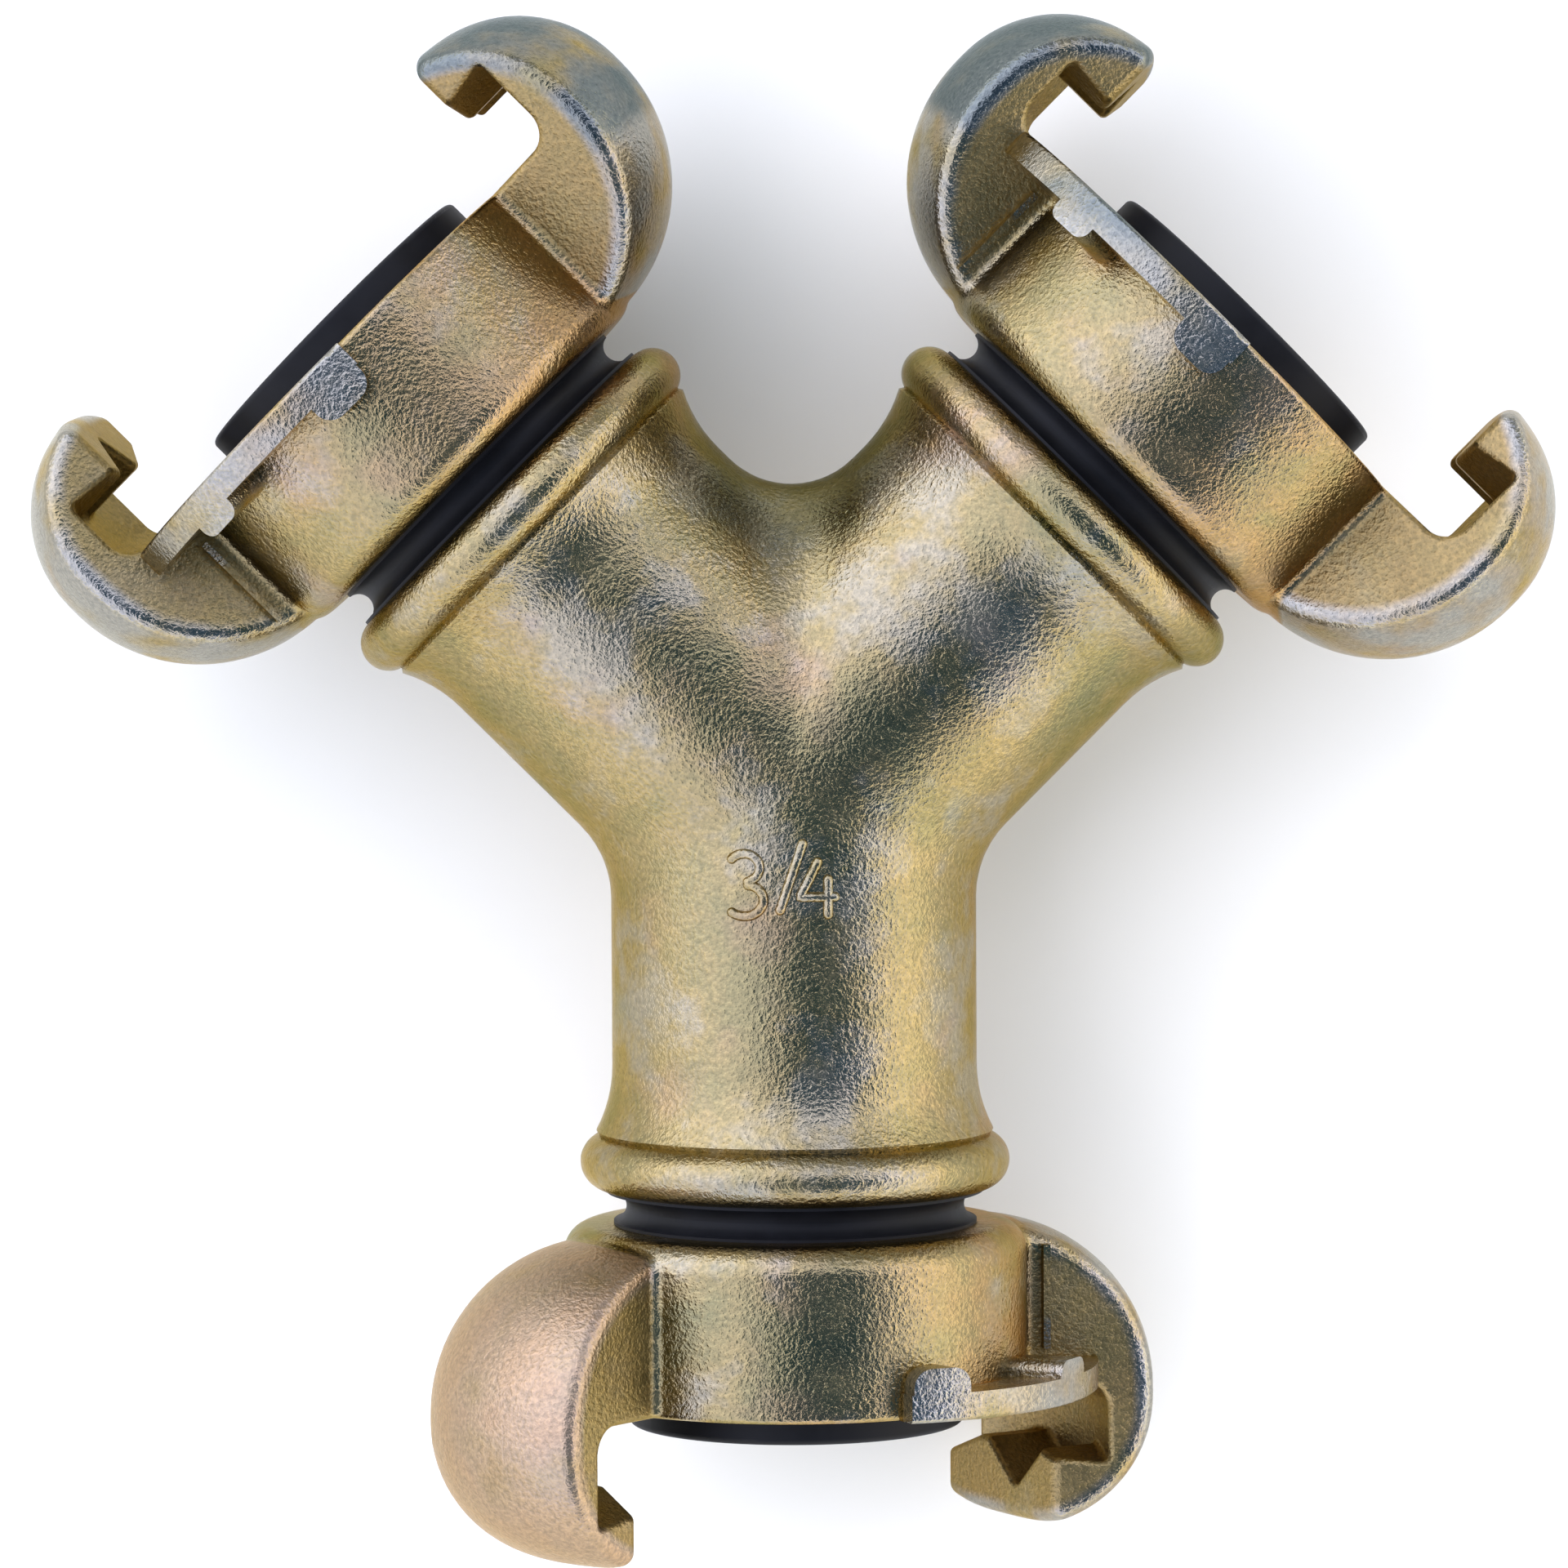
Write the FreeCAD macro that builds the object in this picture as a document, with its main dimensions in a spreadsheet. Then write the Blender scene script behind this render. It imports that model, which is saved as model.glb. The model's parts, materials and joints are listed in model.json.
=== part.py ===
"""Hose distributor in the shape of a Y: a cast fitting with three claw couplings.

A beaded malleable iron Y with three 3/4 inch sockets carries a claw coupling in each socket.
Each coupling is screwed in against a black rubber ring, and holds a rubber seal in its face.
The part lies on the floor as it comes to rest, with the stem of the Y towards -Y.
Lengths are in millimetres, angles in degrees.
"""

import FreeCAD
import Part
import Sketcher
import math
import os

V = FreeCAD.Vector
UP = V(0, 0, 1)

doc = FreeCAD.newDocument("claw_coupling_tee")

# Driving dimensions
SIZES = {
    # Y fitting
    "arm_length": 35.35,
    "branch_angle": 45,
    "tube_radius": 15.75,
    "flare_rise": 1.4,
    "flare_length": 5.6,
    "groove_width": 0.4,
    "groove_rise": 1.15,
    "bead_lift": 0.4,
    "bead_round": 2.4,
    "crotch_land": 1.4,
    "waist_round": 8.9,
    "passage_radius": 11.0,
    "socket_radius": 12.64,
    "socket_depth": 15.0,
    "socket_chamfer": 1.2,
    # Coupling hub and shank
    "hub_radius": 20.0,
    "hub_height": 14.8,
    "back_round": 2.4,
    "face_round": 0.5,
    "thread_gap": 0.04,
    "shank_length": 15.0,
    "shank_chamfer": 1.2,
    "neck_gap": 0.2,
    "bore_radius": 8.5,
    "hub_wall": 3.6,
    "pocket_lip": 1.8,
    "pocket_floor": 7.0,
    "undercut_height": 3.2,
    # Claws
    "claw_half_angle": 22.5,
    "claw_sink": 2.5,
    "claw_inset": 5.3,
    "belly_start": 3.8,
    "belly_radius": 14.9,
    "belly_level": 15.4,
    "back_flat": 0.8,
    "crown_radius": 11.4,
    "claw_round": 1.2,
    "root_round": 1.0,
    "beak_reach": 1.0,
    "mouth_reach": 7.6,
    "mouth_height": 6.0,
    "mouth_corner": 2.4,
    "roof_corner": 0.6,
    "rim_round": 0.6,
    "detent_offset": 2.2,
    "detent_half_width": 4.2,
    "detent_depth": 3.8,
    "detent_round": 0.8,
    "trail_angle": 15.0,
    "lead_start": 3.5,
    "lead_angle": 20.0,
    "seam_reach": 2.0,
    "seam_width": 0.6,
    "seam_angle": 24.7,
    "seam_bottom": 2.5,
    "seam_top": 11.6,
    # Locking ribs
    "rib_reach": 2.85,
    "rib_centre": 4.0,
    "rib_height": 2.4,
    "rib_end_angle": 95.0,
    "rib_round": 0.4,
    "stop_one_angle": 50.5,
    "stop_one_half_angle": 5.0,
    "stop_one_drop": 1.5,
    "stop_one_round": 1.1,
    "stop_two_angle": 88.0,
    "stop_two_half_angle": 6.5,
    "stop_two_drop": 2.2,
    "stop_two_round": 1.6,
    # Face seals
    "seal_gap": 0.1,
    "seal_proud": 2.6,
    "seal_bore": 10.0,
    "seal_foot_gap": 0.2,
    "seal_round": 0.5,
    # Shoulder seals
    "ring_thickness": 3.0,
    "ring_waist_inset": 1.15,
    "ring_wall": 1.2,
    "ring_lip_reach": 0.15,
    "ring_lip_hub": 1.1,
    "ring_lip_edge": 0.25,
    # How far each coupling is turned about its own axis
    "left_turn": 5.0,
    "right_turn": 3.3,
    "lower_turn": 31.0,
}

sheet = doc.addObject("Spreadsheet::Sheet", "Dim")
for row, (word, value) in enumerate(SIZES.items(), start=1):
    sheet.set(f"A{row}", word)
    sheet.set(f"B{row}", str(value))
    sheet.setAlias(f"B{row}", word)
doc.recompute()


def number(text):
    """The present value of an expression in the sheet's words."""
    return float(sheet.evalExpression(text))


def polar(radius, angle):
    """The two coordinates of a point at a radius and an angle, as expressions."""
    return f"({radius}) * cos({angle})", f"({radius}) * sin({angle})"


def outline(body, name, role, *loops, turn=None, axis=None):
    """A sketch of closed loops on one of its body's origin planes.

    A corner is (x, y), or (x, y, radius, side) where an arc runs from it to the next corner
    with its centre on the left (side 1) or on the right (side -1) of the way there.
    """
    sketch = body.newObject("Sketcher::SketchObject", name)
    base = next(part for part in body.Origin.OriginFeatures if part.Role == role)
    sketch.AttachmentSupport = (base, [""])
    sketch.MapMode = "FlatFace"
    if turn:
        sketch.AttachmentOffset = FreeCAD.Placement(V(), FreeCAD.Rotation(UP, number(turn)))
        sketch.setExpression("AttachmentOffset.Rotation.Angle", turn)

    def hold(kind, *where, text):
        made = sketch.addConstraint(Sketcher.Constraint(kind, *where, number(text)))
        sketch.setExpression(f"Constraints[{made}]", text)

    for loop in loops:
        points = [V(number(corner[0]), number(corner[1]), 0) for corner in loop]
        edges = []
        for index, corner in enumerate(loop):
            start = points[index]
            end = points[(index + 1) % len(points)]
            if len(corner) == 2:
                made = sketch.addGeometry(Part.LineSegment(start, end), False)
                edges.append((made, 1, 2))
                continue
            radius = number(corner[2])
            half = (end - start) / 2
            rise = math.sqrt(max(radius**2 - half.Length**2, 0))
            inward = V(-half.y, half.x, 0).normalize() * corner[3]
            middle = start + half + inward * (rise - radius)
            made = sketch.addGeometry(Part.Arc(start, middle, end), False)
            edges.append((made, 1, 2) if corner[3] > 0 else (made, 2, 1))
        for index, corner in enumerate(loop):
            edge, first, last = edges[index]
            after, beginning, _ = edges[(index + 1) % len(edges)]
            hold("DistanceX", -1, 1, edge, first, text=corner[0])
            hold("DistanceY", -1, 1, edge, first, text=corner[1])
            sketch.addConstraint(
                Sketcher.Constraint("Coincident", edge, last, after, beginning)
            )
            if len(corner) > 2:
                hold("Radius", edge, text=corner[2])
    if axis:
        place = number(axis)
        line = sketch.addGeometry(Part.LineSegment(V(place, 0, 0), V(place, 1, 0)), True)
        hold("DistanceX", -1, 1, line, 1, text=axis)
        hold("DistanceY", -1, 1, line, 1, text="0")
        hold("DistanceX", -1, 1, line, 2, text=axis)
        hold("DistanceY", -1, 1, line, 2, text="1")
    return sketch


def turned(body, kind, name, sketch, axis="V_Axis"):
    """A full Revolution or Groove of a sketch about one of its lines."""
    feature = body.newObject(f"PartDesign::{kind}", name)
    feature.Profile = sketch
    feature.ReferenceAxis = (sketch, [axis])
    feature.Angle = 360
    return feature


def drawn(body, kind, name, sketch, length=None, backwards=False, both=False):
    """A Pad or Pocket of a sketch, through everything where it has no length."""
    feature = body.newObject(f"PartDesign::{kind}", name)
    feature.Profile = sketch
    if length:
        feature.setExpression("Length", length)
    else:
        feature.Type = "ThroughAll"
    feature.Reversed = backwards
    feature.Midplane = both
    return feature


def rounded(body, name, size, chosen):
    """A Fillet of the edges of the body's last feature that pass the test."""
    doc.recompute()
    base = body.Tip
    edges = base.Shape.Edges
    names = [f"Edge{index}" for index, edge in enumerate(edges, start=1) if chosen(edge)]
    fillet = body.newObject("PartDesign::Fillet", name)
    fillet.Base = (base, names)
    fillet.Radius = number(size)
    fillet.setExpression("Radius", size)
    return fillet


def spots(edge):
    """Points along an edge, its ends left out."""
    low, high = edge.FirstParameter, edge.LastParameter
    return [edge.valueAt(low + (high - low) * share) for share in (0.1, 0.3, 0.5, 0.7, 0.9)]


# Y fitting: one casting, three beaded sockets meeting at the origin
y_fitting = doc.addObject("PartDesign::Body", "y_fitting")
arms = {
    "left": "Dim.branch_angle",
    "right": "-Dim.branch_angle",
    "lower": "180",
}
groove_radius = "(Dim.tube_radius + Dim.groove_rise)"
bead_seat = "(Dim.tube_radius + Dim.bead_lift)"
bead_rise = "Dim.groove_rise - Dim.bead_lift"
groove = f"Dim.arm_length - Dim.bead_round - sqrt(Dim.bead_round ^ 2 - ({bead_rise}) ^ 2)"
flare_top = f"{groove} - Dim.groove_width"
flare_bend = "(Dim.flare_rise ^ 2 + Dim.flare_length ^ 2) / (2 * Dim.flare_rise)"
bead_edge = f"{bead_seat} + Dim.bead_round"
for arm, angle in arms.items():
    tube = outline(
        y_fitting, f"{arm}_tube", "XY_Plane",
        [
            ("0", "0"),
            ("Dim.tube_radius", "0"),
            ("Dim.tube_radius", f"{flare_top} - Dim.flare_length", flare_bend, -1),
            ("Dim.tube_radius + Dim.flare_rise", flare_top),
            (groove_radius, groove, "Dim.bead_round", 1),
            (bead_edge, "Dim.arm_length - Dim.bead_round", "Dim.bead_round", 1),
            (bead_seat, "Dim.arm_length"),
            ("0", "Dim.arm_length"),
        ],
        turn=angle,
    )
    turned(y_fitting, "Revolution", f"{arm}_arm", tube)


def heading(arm):
    """The way an arm points."""
    angle = math.radians(number(arms[arm]))
    return V(-math.sin(angle), math.cos(angle), 0)


def between(one, two):
    """A test for the edges where two arms meet."""
    apart = heading(one) - heading(two)
    middle = heading(one) + heading(two)
    return lambda edge: all(
        abs(spot.dot(apart)) < 0.02 and spot.dot(middle) > 0.02 for spot in spots(edge)
    )


left_waist = between("left", "lower")
right_waist = between("right", "lower")
rounded(
    y_fitting, "waists", "Dim.waist_round",
    lambda edge: left_waist(edge) or right_waist(edge),
)
crotch_end = f"({flare_top} - Dim.flare_length - Dim.crotch_land)"
crotch_round = f"{crotch_end} * tan(Dim.branch_angle) - Dim.tube_radius"
rounded(y_fitting, "crotch", crotch_round, between("left", "right"))
seat = "Dim.arm_length - Dim.socket_depth"
for arm, angle in arms.items():
    bore = outline(
        y_fitting, f"{arm}_bore", "XY_Plane",
        [
            ("0", "0"),
            ("Dim.passage_radius", "0"),
            ("Dim.passage_radius", seat),
            ("Dim.socket_radius", seat),
            ("Dim.socket_radius", "Dim.arm_length - Dim.socket_chamfer"),
            ("Dim.socket_radius + Dim.socket_chamfer", "Dim.arm_length"),
            ("0", "Dim.arm_length"),
        ],
        turn=angle,
    )
    turned(y_fitting, "Groove", f"{arm}_socket", bore)

# Coupling hub: drum with a seal pocket in its face, and the threaded shank behind it
hub = doc.addObject("PartDesign::Body", "hub")
shank = "Dim.socket_radius - Dim.thread_gap"
ring_waist = "(Dim.tube_radius - Dim.ring_waist_inset)"
ring_bore = f"({ring_waist} - Dim.ring_wall)"
neck = f"{ring_bore} - Dim.neck_gap"
undercut = "(Dim.hub_radius - Dim.hub_wall)"
pocket = f"({undercut} - Dim.pocket_lip)"
section = outline(
    hub, "hub_section", "XZ_Plane",
    [
        ("Dim.bore_radius", "-Dim.shank_length"),
        (f"{shank} - Dim.shank_chamfer", "-Dim.shank_length"),
        (shank, "Dim.shank_chamfer - Dim.shank_length"),
        (shank, "-Dim.ring_thickness"),
        (neck, "-Dim.ring_thickness"),
        (neck, "0"),
        ("Dim.hub_radius - Dim.back_round", "0", "Dim.back_round", 1),
        ("Dim.hub_radius", "Dim.back_round"),
        ("Dim.hub_radius", "Dim.hub_height - Dim.face_round", "Dim.face_round", 1),
        ("Dim.hub_radius - Dim.face_round", "Dim.hub_height"),
        (pocket, "Dim.hub_height"),
        (pocket, "Dim.pocket_floor + Dim.undercut_height"),
        (undercut, "Dim.pocket_floor + Dim.undercut_height"),
        (undercut, "Dim.pocket_floor"),
        ("Dim.bore_radius", "Dim.pocket_floor"),
    ],
)
turned(hub, "Revolution", "hub_turned", section)

# Claw: a round-backed hook on the rim, open towards the axis
claw = doc.addObject("PartDesign::Body", "claw")
claw_axis = "(Dim.hub_radius - Dim.claw_inset)"
claw_root = "(Dim.hub_radius - Dim.claw_sink)"
beak_end = "(Dim.hub_radius + Dim.beak_reach)"
claw_back = f"{claw_axis} + Dim.belly_start + Dim.belly_radius"
claw_top = "Dim.belly_level + Dim.back_flat + Dim.crown_radius"
belly_low = "Dim.belly_level - Dim.belly_radius"
section = outline(
    claw, "claw_section", "XZ_Plane",
    [
        (claw_axis, belly_low),
        (f"{claw_axis} + Dim.belly_start", belly_low, "Dim.belly_radius", 1),
        (claw_back, "Dim.belly_level"),
        (claw_back, "Dim.belly_level + Dim.back_flat", "Dim.crown_radius", 1),
        (f"{claw_back} - Dim.crown_radius", claw_top),
        (claw_axis, claw_top),
    ],
    axis=claw_axis,
)
turned(claw, "Revolution", "claw_bulb", section, "Axis0")
reach = f"2 * ({claw_back})"
side = f"{reach} * tan(Dim.claw_half_angle)"
sides = outline(
    claw, "claw_sides_plan", "XY_Plane",
    [
        ("0", "0"),
        (reach, side),
        (reach, reach),
        (f"-{reach}", reach),
        (f"-{reach}", f"-{reach}"),
        (reach, f"-{reach}"),
        (reach, f"-{side}"),
    ],
)
drawn(claw, "Pocket", "claw_sides", sides, backwards=True)
gap = outline(
    claw, "beak_gap_section", "XZ_Plane",
    [
        (f"-{reach}", f"-{claw_top}"),
        (claw_root, f"-{claw_top}"),
        (claw_root, "Dim.hub_height"),
        (beak_end, "Dim.hub_height"),
        (beak_end, f"2 * ({claw_top})"),
        (f"-{reach}", f"2 * ({claw_top})"),
    ],
)
drawn(claw, "Pocket", "beak_gap", gap, both=True)


roof = "Dim.hub_height + Dim.mouth_height"


def on_claw_side(spot):
    """Whether a point lies on either side face of the claw."""
    angle = math.degrees(math.atan2(abs(spot.y), spot.x))
    return abs(angle - number("Dim.claw_half_angle")) < 0.05


def on_claw_outside(edge):
    """Whether an edge is where the claw's sides, back and beak end meet."""
    root = number(claw_root)
    floor = number("Dim.hub_height")
    end = number(beak_end)
    along = spots(edge)
    if all(on_claw_side(spot) for spot in along):
        return all(spot.x > root + 0.01 and abs(spot.z - floor) > 0.01 for spot in along)
    return all(abs(spot.x - end) < 0.01 and spot.z > number(roof) for spot in along)


rounded(claw, "claw_edges", "Dim.claw_round", on_claw_outside)
# The hook's mouth, cut as one form: a round wall about the hub's axis, and a roof with a detent
mouth = doc.addObject("PartDesign::Body", "mouth")
detent_left = "Dim.detent_offset - Dim.detent_half_width"
detent_right = "Dim.detent_offset + Dim.detent_half_width"
far = "(Dim.hub_radius + Dim.mouth_reach)"
section = outline(
    mouth, "mouth_section", "YZ_Plane",
    [
        (f"-{far}", "Dim.hub_height"),
        (far, "Dim.hub_height"),
        (far, f"{roof} + ({far} - ({detent_right})) * tan(Dim.trail_angle)"),
        (detent_right, roof),
        ("Dim.detent_offset", f"{roof} + Dim.detent_depth"),
        (detent_left, roof),
        ("-Dim.lead_start", roof),
        (f"-{far}", f"{roof} + ({far} - Dim.lead_start) * tan(Dim.lead_angle)"),
    ],
)
drawn(mouth, "Pad", "mouth_form", section, length=far)
square = f"2 * {far}"
trim = outline(
    mouth, "mouth_trim_section", "XZ_Plane",
    [
        (far, "0"),
        (square, "0"),
        (square, f"2 * ({claw_top})"),
        (far, f"2 * ({claw_top})"),
    ],
)
turned(mouth, "Groove", "mouth_wall", trim)


def on_mouth_wall(edge):
    """Whether an edge of the mouth's form bounds its round wall above or below."""
    radius = number(far)
    along = spots(edge)
    upright = abs(along[0].z - along[-1].z) > 1 and abs(along[0].x - along[-1].x) < 0.01
    return not upright and all(abs(math.hypot(spot.x, spot.y) - radius) < 0.01 for spot in along)


def on_mouth_floor(edge):
    return on_mouth_wall(edge) and abs(spots(edge)[0].z - number("Dim.hub_height")) < 0.01


def on_mouth_roof(edge):
    return on_mouth_wall(edge) and not on_mouth_floor(edge) and spots(edge)[2].x > 0.01


def on_detent(edge):
    """Whether an edge runs along the detent's deepest line."""
    place = number("Dim.detent_offset")
    deep = number(f"{roof} + Dim.detent_depth")
    return all(abs(spot.y - place) < 0.01 and abs(spot.z - deep) < 0.01 for spot in spots(edge))


rounded(mouth, "mouth_floor_round", "Dim.mouth_corner", on_mouth_floor)
rounded(mouth, "detent_deep_round", "Dim.detent_round", on_detent)
rounded(mouth, "mouth_roof_round", "Dim.roof_corner", on_mouth_roof)
doc.recompute()
claw_skin = claw.Tip.Shape.Shells[0]
mouth_skin = mouth.Tip.Shape.Shells[0]
hollowed = claw.newObject("PartDesign::Boolean", "mouth_cut")
hollowed.Type = "Cut"
hollowed.setObjects([mouth])


def on_mouth_rim(edge):
    """Whether an edge is where the mouth breaks through the claw's outside."""
    root = number(claw_root)
    return all(
        claw_skin.distToShape(Part.Vertex(spot))[0] < 1e-4
        and mouth_skin.distToShape(Part.Vertex(spot))[0] < 1e-4
        and spot.x > root + 0.01
        for spot in spots(edge)
    )


rounded(claw, "mouth_rim", "Dim.rim_round", on_mouth_rim)
seam_place = "Dim.hub_radius + Dim.seam_reach"
seam = outline(
    claw, "seam_plan", "XY_Plane",
    [
        polar(f"{seam_place} - Dim.seam_width / 2", "Dim.claw_half_angle / 2"),
        polar(f"{seam_place} + Dim.seam_width / 2", "Dim.claw_half_angle / 2"),
        polar(f"{seam_place} + Dim.seam_width / 2", "Dim.seam_angle"),
        polar(f"{seam_place} - Dim.seam_width / 2", "Dim.seam_angle"),
    ],
)
seam.setExpression("AttachmentOffset.Base.z", "Dim.seam_bottom")
drawn(claw, "Pad", "seam", seam, length="Dim.seam_top - Dim.seam_bottom")

# Locking rib: a ledge round the rim of the hub, from the claw's side to the end of its travel
rib = doc.addObject("PartDesign::Body", "rib")


rib_radius = "(Dim.hub_radius + Dim.rib_reach)"


def rim(angle):
    """A point of the rib's outer edge, which runs about its own centre nearer to the claw."""
    offset = f"Dim.rib_centre * sin({angle})"
    return polar(f"Dim.rib_centre * cos({angle}) + sqrt({rib_radius} ^ 2 - ({offset}) ^ 2)", angle)


def ledge(name, start, end, bottom):
    """A pad under the hub's face between two angles, from the hub out to the rib's edge."""
    plan = outline(
        rib, f"{name}_plan", "XY_Plane",
        [
            polar(claw_root, start),
            (*rim(start), rib_radius, 1),
            rim(end),
            (*polar(claw_root, end), claw_root, -1),
        ],
    )
    plan.setExpression("AttachmentOffset.Base.z", bottom)
    return drawn(rib, "Pad", name, plan, length=f"Dim.hub_height - ({bottom})")


rib_bottom = "Dim.hub_height - Dim.rib_height"
ledge("rib_ledge", "Dim.claw_half_angle / 2", "Dim.rib_end_angle", rib_bottom)


def at_level(low):
    """A test for the edges that run outwards at this height."""
    def tested(edge):
        along = spots(edge)
        headings = [math.atan2(spot.y, spot.x) for spot in along]
        level = all(abs(spot.z - number(low)) < 0.01 for spot in along)
        return level and max(headings) - min(headings) < 0.01
    return tested


for stop in ("stop_one", "stop_two"):
    stop_bottom = f"{rib_bottom} - Dim.{stop}_drop"
    ledge(
        stop,
        f"Dim.{stop}_angle - Dim.{stop}_half_angle", f"Dim.{stop}_angle + Dim.{stop}_half_angle",
        stop_bottom,
    )
    rounded(rib, f"{stop}_rounds", f"Dim.{stop}_round", at_level(stop_bottom))


def opposite(name, source):
    """The same form again on the other side of the hub."""
    twin = doc.addObject("App::Link", name)
    twin.LinkedObject = source
    twin.Placement = FreeCAD.Placement(V(), FreeCAD.Rotation(UP, 180))
    return twin


# Coupling casting: the hub with its two claws and two ribs in one piece
forms = doc.addObject("Part::MultiFuse", "coupling_forms")
forms.Shapes = [
    hub, claw, opposite("claw_opposite", claw), rib, opposite("rib_opposite", rib)
]
forms.Refine = True
doc.recompute()


def on_claw_root(edge):
    """Whether an edge is the upright corner between a claw's side and the hub."""
    along = spots(edge)
    level = number("Dim.hub_height")
    upright = all(math.hypot(spot.x - along[0].x, spot.y - along[0].y) < 0.01 for spot in along)
    corner = math.hypot(along[0].x, along[0].y) - number("Dim.hub_radius")
    return upright and abs(corner) < 0.01 and edge.Length > level / 2


def on_rib_rim(edge):
    """Whether an edge runs round the top of a rib, outside the hub and clear of the claws."""
    along = spots(edge)
    turns = [math.degrees(math.atan2(spot.y, spot.x)) % 180 for spot in along]
    first, last = number("Dim.claw_half_angle"), number("Dim.rib_end_angle")
    return all(
        abs(spot.z - number("Dim.hub_height")) < 0.01
        and math.hypot(spot.x, spot.y) > number("Dim.hub_radius") + 1.0
        and first < turn < last + 1.0
        for spot, turn in zip(along, turns)
    )


rounds = []
for index, edge in enumerate(forms.Shape.Edges, start=1):
    if edge.Degenerated:
        continue
    for chosen, size in ((on_claw_root, "Dim.root_round"), (on_rib_rim, "Dim.rib_round")):
        if chosen(edge):
            rounds.append((index, number(size), number(size)))
coupling = doc.addObject("Part::Fillet", "coupling")
coupling.Base = forms
coupling.Edges = rounds

# Face seal: a rubber ring with a wide foot held in the undercut of the pocket
face_seal = doc.addObject("PartDesign::Body", "face_seal")
foot_radius = f"{undercut} - Dim.seal_foot_gap"
foot_top = "Dim.pocket_floor + Dim.undercut_height - Dim.seal_foot_gap"
lip_radius = f"{pocket} - Dim.seal_gap"
lip_top = "Dim.hub_height + Dim.seal_proud"
section = outline(
    face_seal, "face_seal_section", "XZ_Plane",
    [
        ("Dim.seal_bore", "Dim.pocket_floor"),
        (foot_radius, "Dim.pocket_floor"),
        (foot_radius, foot_top),
        (lip_radius, foot_top),
        (lip_radius, f"{lip_top} - Dim.seal_round", "Dim.seal_round", 1),
        (f"{lip_radius} - Dim.seal_round", lip_top),
        ("Dim.seal_bore + Dim.seal_round", lip_top, "Dim.seal_round", 1),
        ("Dim.seal_bore", f"{lip_top} - Dim.seal_round"),
    ],
)
turned(face_seal, "Revolution", "face_seal_turned", section)

# Shoulder seal: a rubber ring squeezed hollow between the fitting's end and the hub's back
shoulder_seal = doc.addObject("PartDesign::Body", "shoulder_seal")
ring_half = "Dim.ring_thickness / 2"
lip_half = f"({ring_half} - Dim.ring_lip_edge)"
fitting_edge = f"({bead_seat} + Dim.ring_lip_reach)"
fitting_lip = f"({fitting_edge} - {ring_waist})"
section = outline(
    shoulder_seal, "shoulder_seal_section", "XZ_Plane",
    [
        (ring_bore, "-Dim.ring_thickness"),
        (fitting_edge, "-Dim.ring_thickness"),
        (
            fitting_edge, "Dim.ring_lip_edge - Dim.ring_thickness",
            f"({fitting_lip} ^ 2 + {lip_half} ^ 2) / (2 * {fitting_lip})", -1,
        ),
        (
            ring_waist, f"-{ring_half}",
            f"(Dim.ring_lip_hub ^ 2 + {lip_half} ^ 2) / (2 * Dim.ring_lip_hub)", -1,
        ),
        (f"{ring_waist} + Dim.ring_lip_hub", "-Dim.ring_lip_edge"),
        (f"{ring_waist} + Dim.ring_lip_hub", "0"),
        (ring_bore, "0"),
    ],
)
turned(shoulder_seal, "Revolution", "shoulder_seal_turned", section)

doc.recompute()


def standing(arm):
    """Where a coupling's own frame lies: its back on the rubber ring, its axis along the arm."""
    angle = number(arms[arm])
    shoulder = number("Dim.arm_length + Dim.ring_thickness")
    turn = FreeCAD.Rotation(UP, -number(f"Dim.{arm}_turn"))
    rotation = FreeCAD.Rotation(UP, angle) * FreeCAD.Rotation(V(1, 0, 0), -90) * turn
    return FreeCAD.Placement(heading(arm) * shoulder, rotation)


def resting(couplings):
    """The turn that brings the lowest point of each coupling onto one level floor."""
    clouds = [shape.tessellate(0.02)[0] for shape in couplings]
    normal = UP
    for _ in range(8):
        low = [min(cloud, key=lambda point: point.dot(normal)) for cloud in clouds]
        normal = (low[1] - low[0]).cross(low[2] - low[0]).normalize()
        if normal.z < 0:
            normal = normal.negative()
    return FreeCAD.Rotation(normal, UP)


# Each piece in its place round the fitting, then the whole laid on the floor
pieces = {"y_fitting": (y_fitting, FreeCAD.Placement())}
for arm in arms:
    for name, source in (
        ("coupling", coupling), ("face_seal", face_seal), ("shoulder_seal", shoulder_seal)
    ):
        pieces[f"{arm}_{name}"] = (source, standing(arm))


def placed(source, placement):
    shape = source.Shape.copy()
    shape.Placement = placement * shape.Placement
    return shape


tilt = FreeCAD.Placement(
    V(), resting([placed(*pieces[f"{arm}_coupling"]) for arm in arms])
)
laid = [placed(source, tilt * placement) for source, placement in pieces.values()]
box = Part.makeCompound(laid).optimalBoundingBox(False, False)
shift = FreeCAD.Placement(V(-box.Center.x, -box.Center.y, -box.ZMin), FreeCAD.Rotation())

finished = []
for name, (source, placement) in pieces.items():
    if source is y_fitting:
        piece = source
        piece.Placement = shift * tilt
    else:
        piece = doc.addObject("Part::Feature", name)
        piece.Shape = source.Shape.copy()
        piece.Placement = shift * tilt * placement
    piece.Label = name
    finished.append(piece)
doc.recompute()

for thing in doc.Objects:
    if "Invalid" in thing.State or "Error" in thing.State:
        raise RuntimeError(f"{thing.Name} failed: {thing.State}")
for piece in finished:
    if piece.Shape.isNull() or not piece.Shape.isValid():
        raise RuntimeError(f"{piece.Label} has no valid shape")

os.makedirs("parts", exist_ok=True)
for piece in finished:
    piece.Shape.exportStep(f"parts/{piece.Label}.step")
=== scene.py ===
import json
import math

import bpy
import numpy as np
from mathutils import Matrix, Vector


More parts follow.
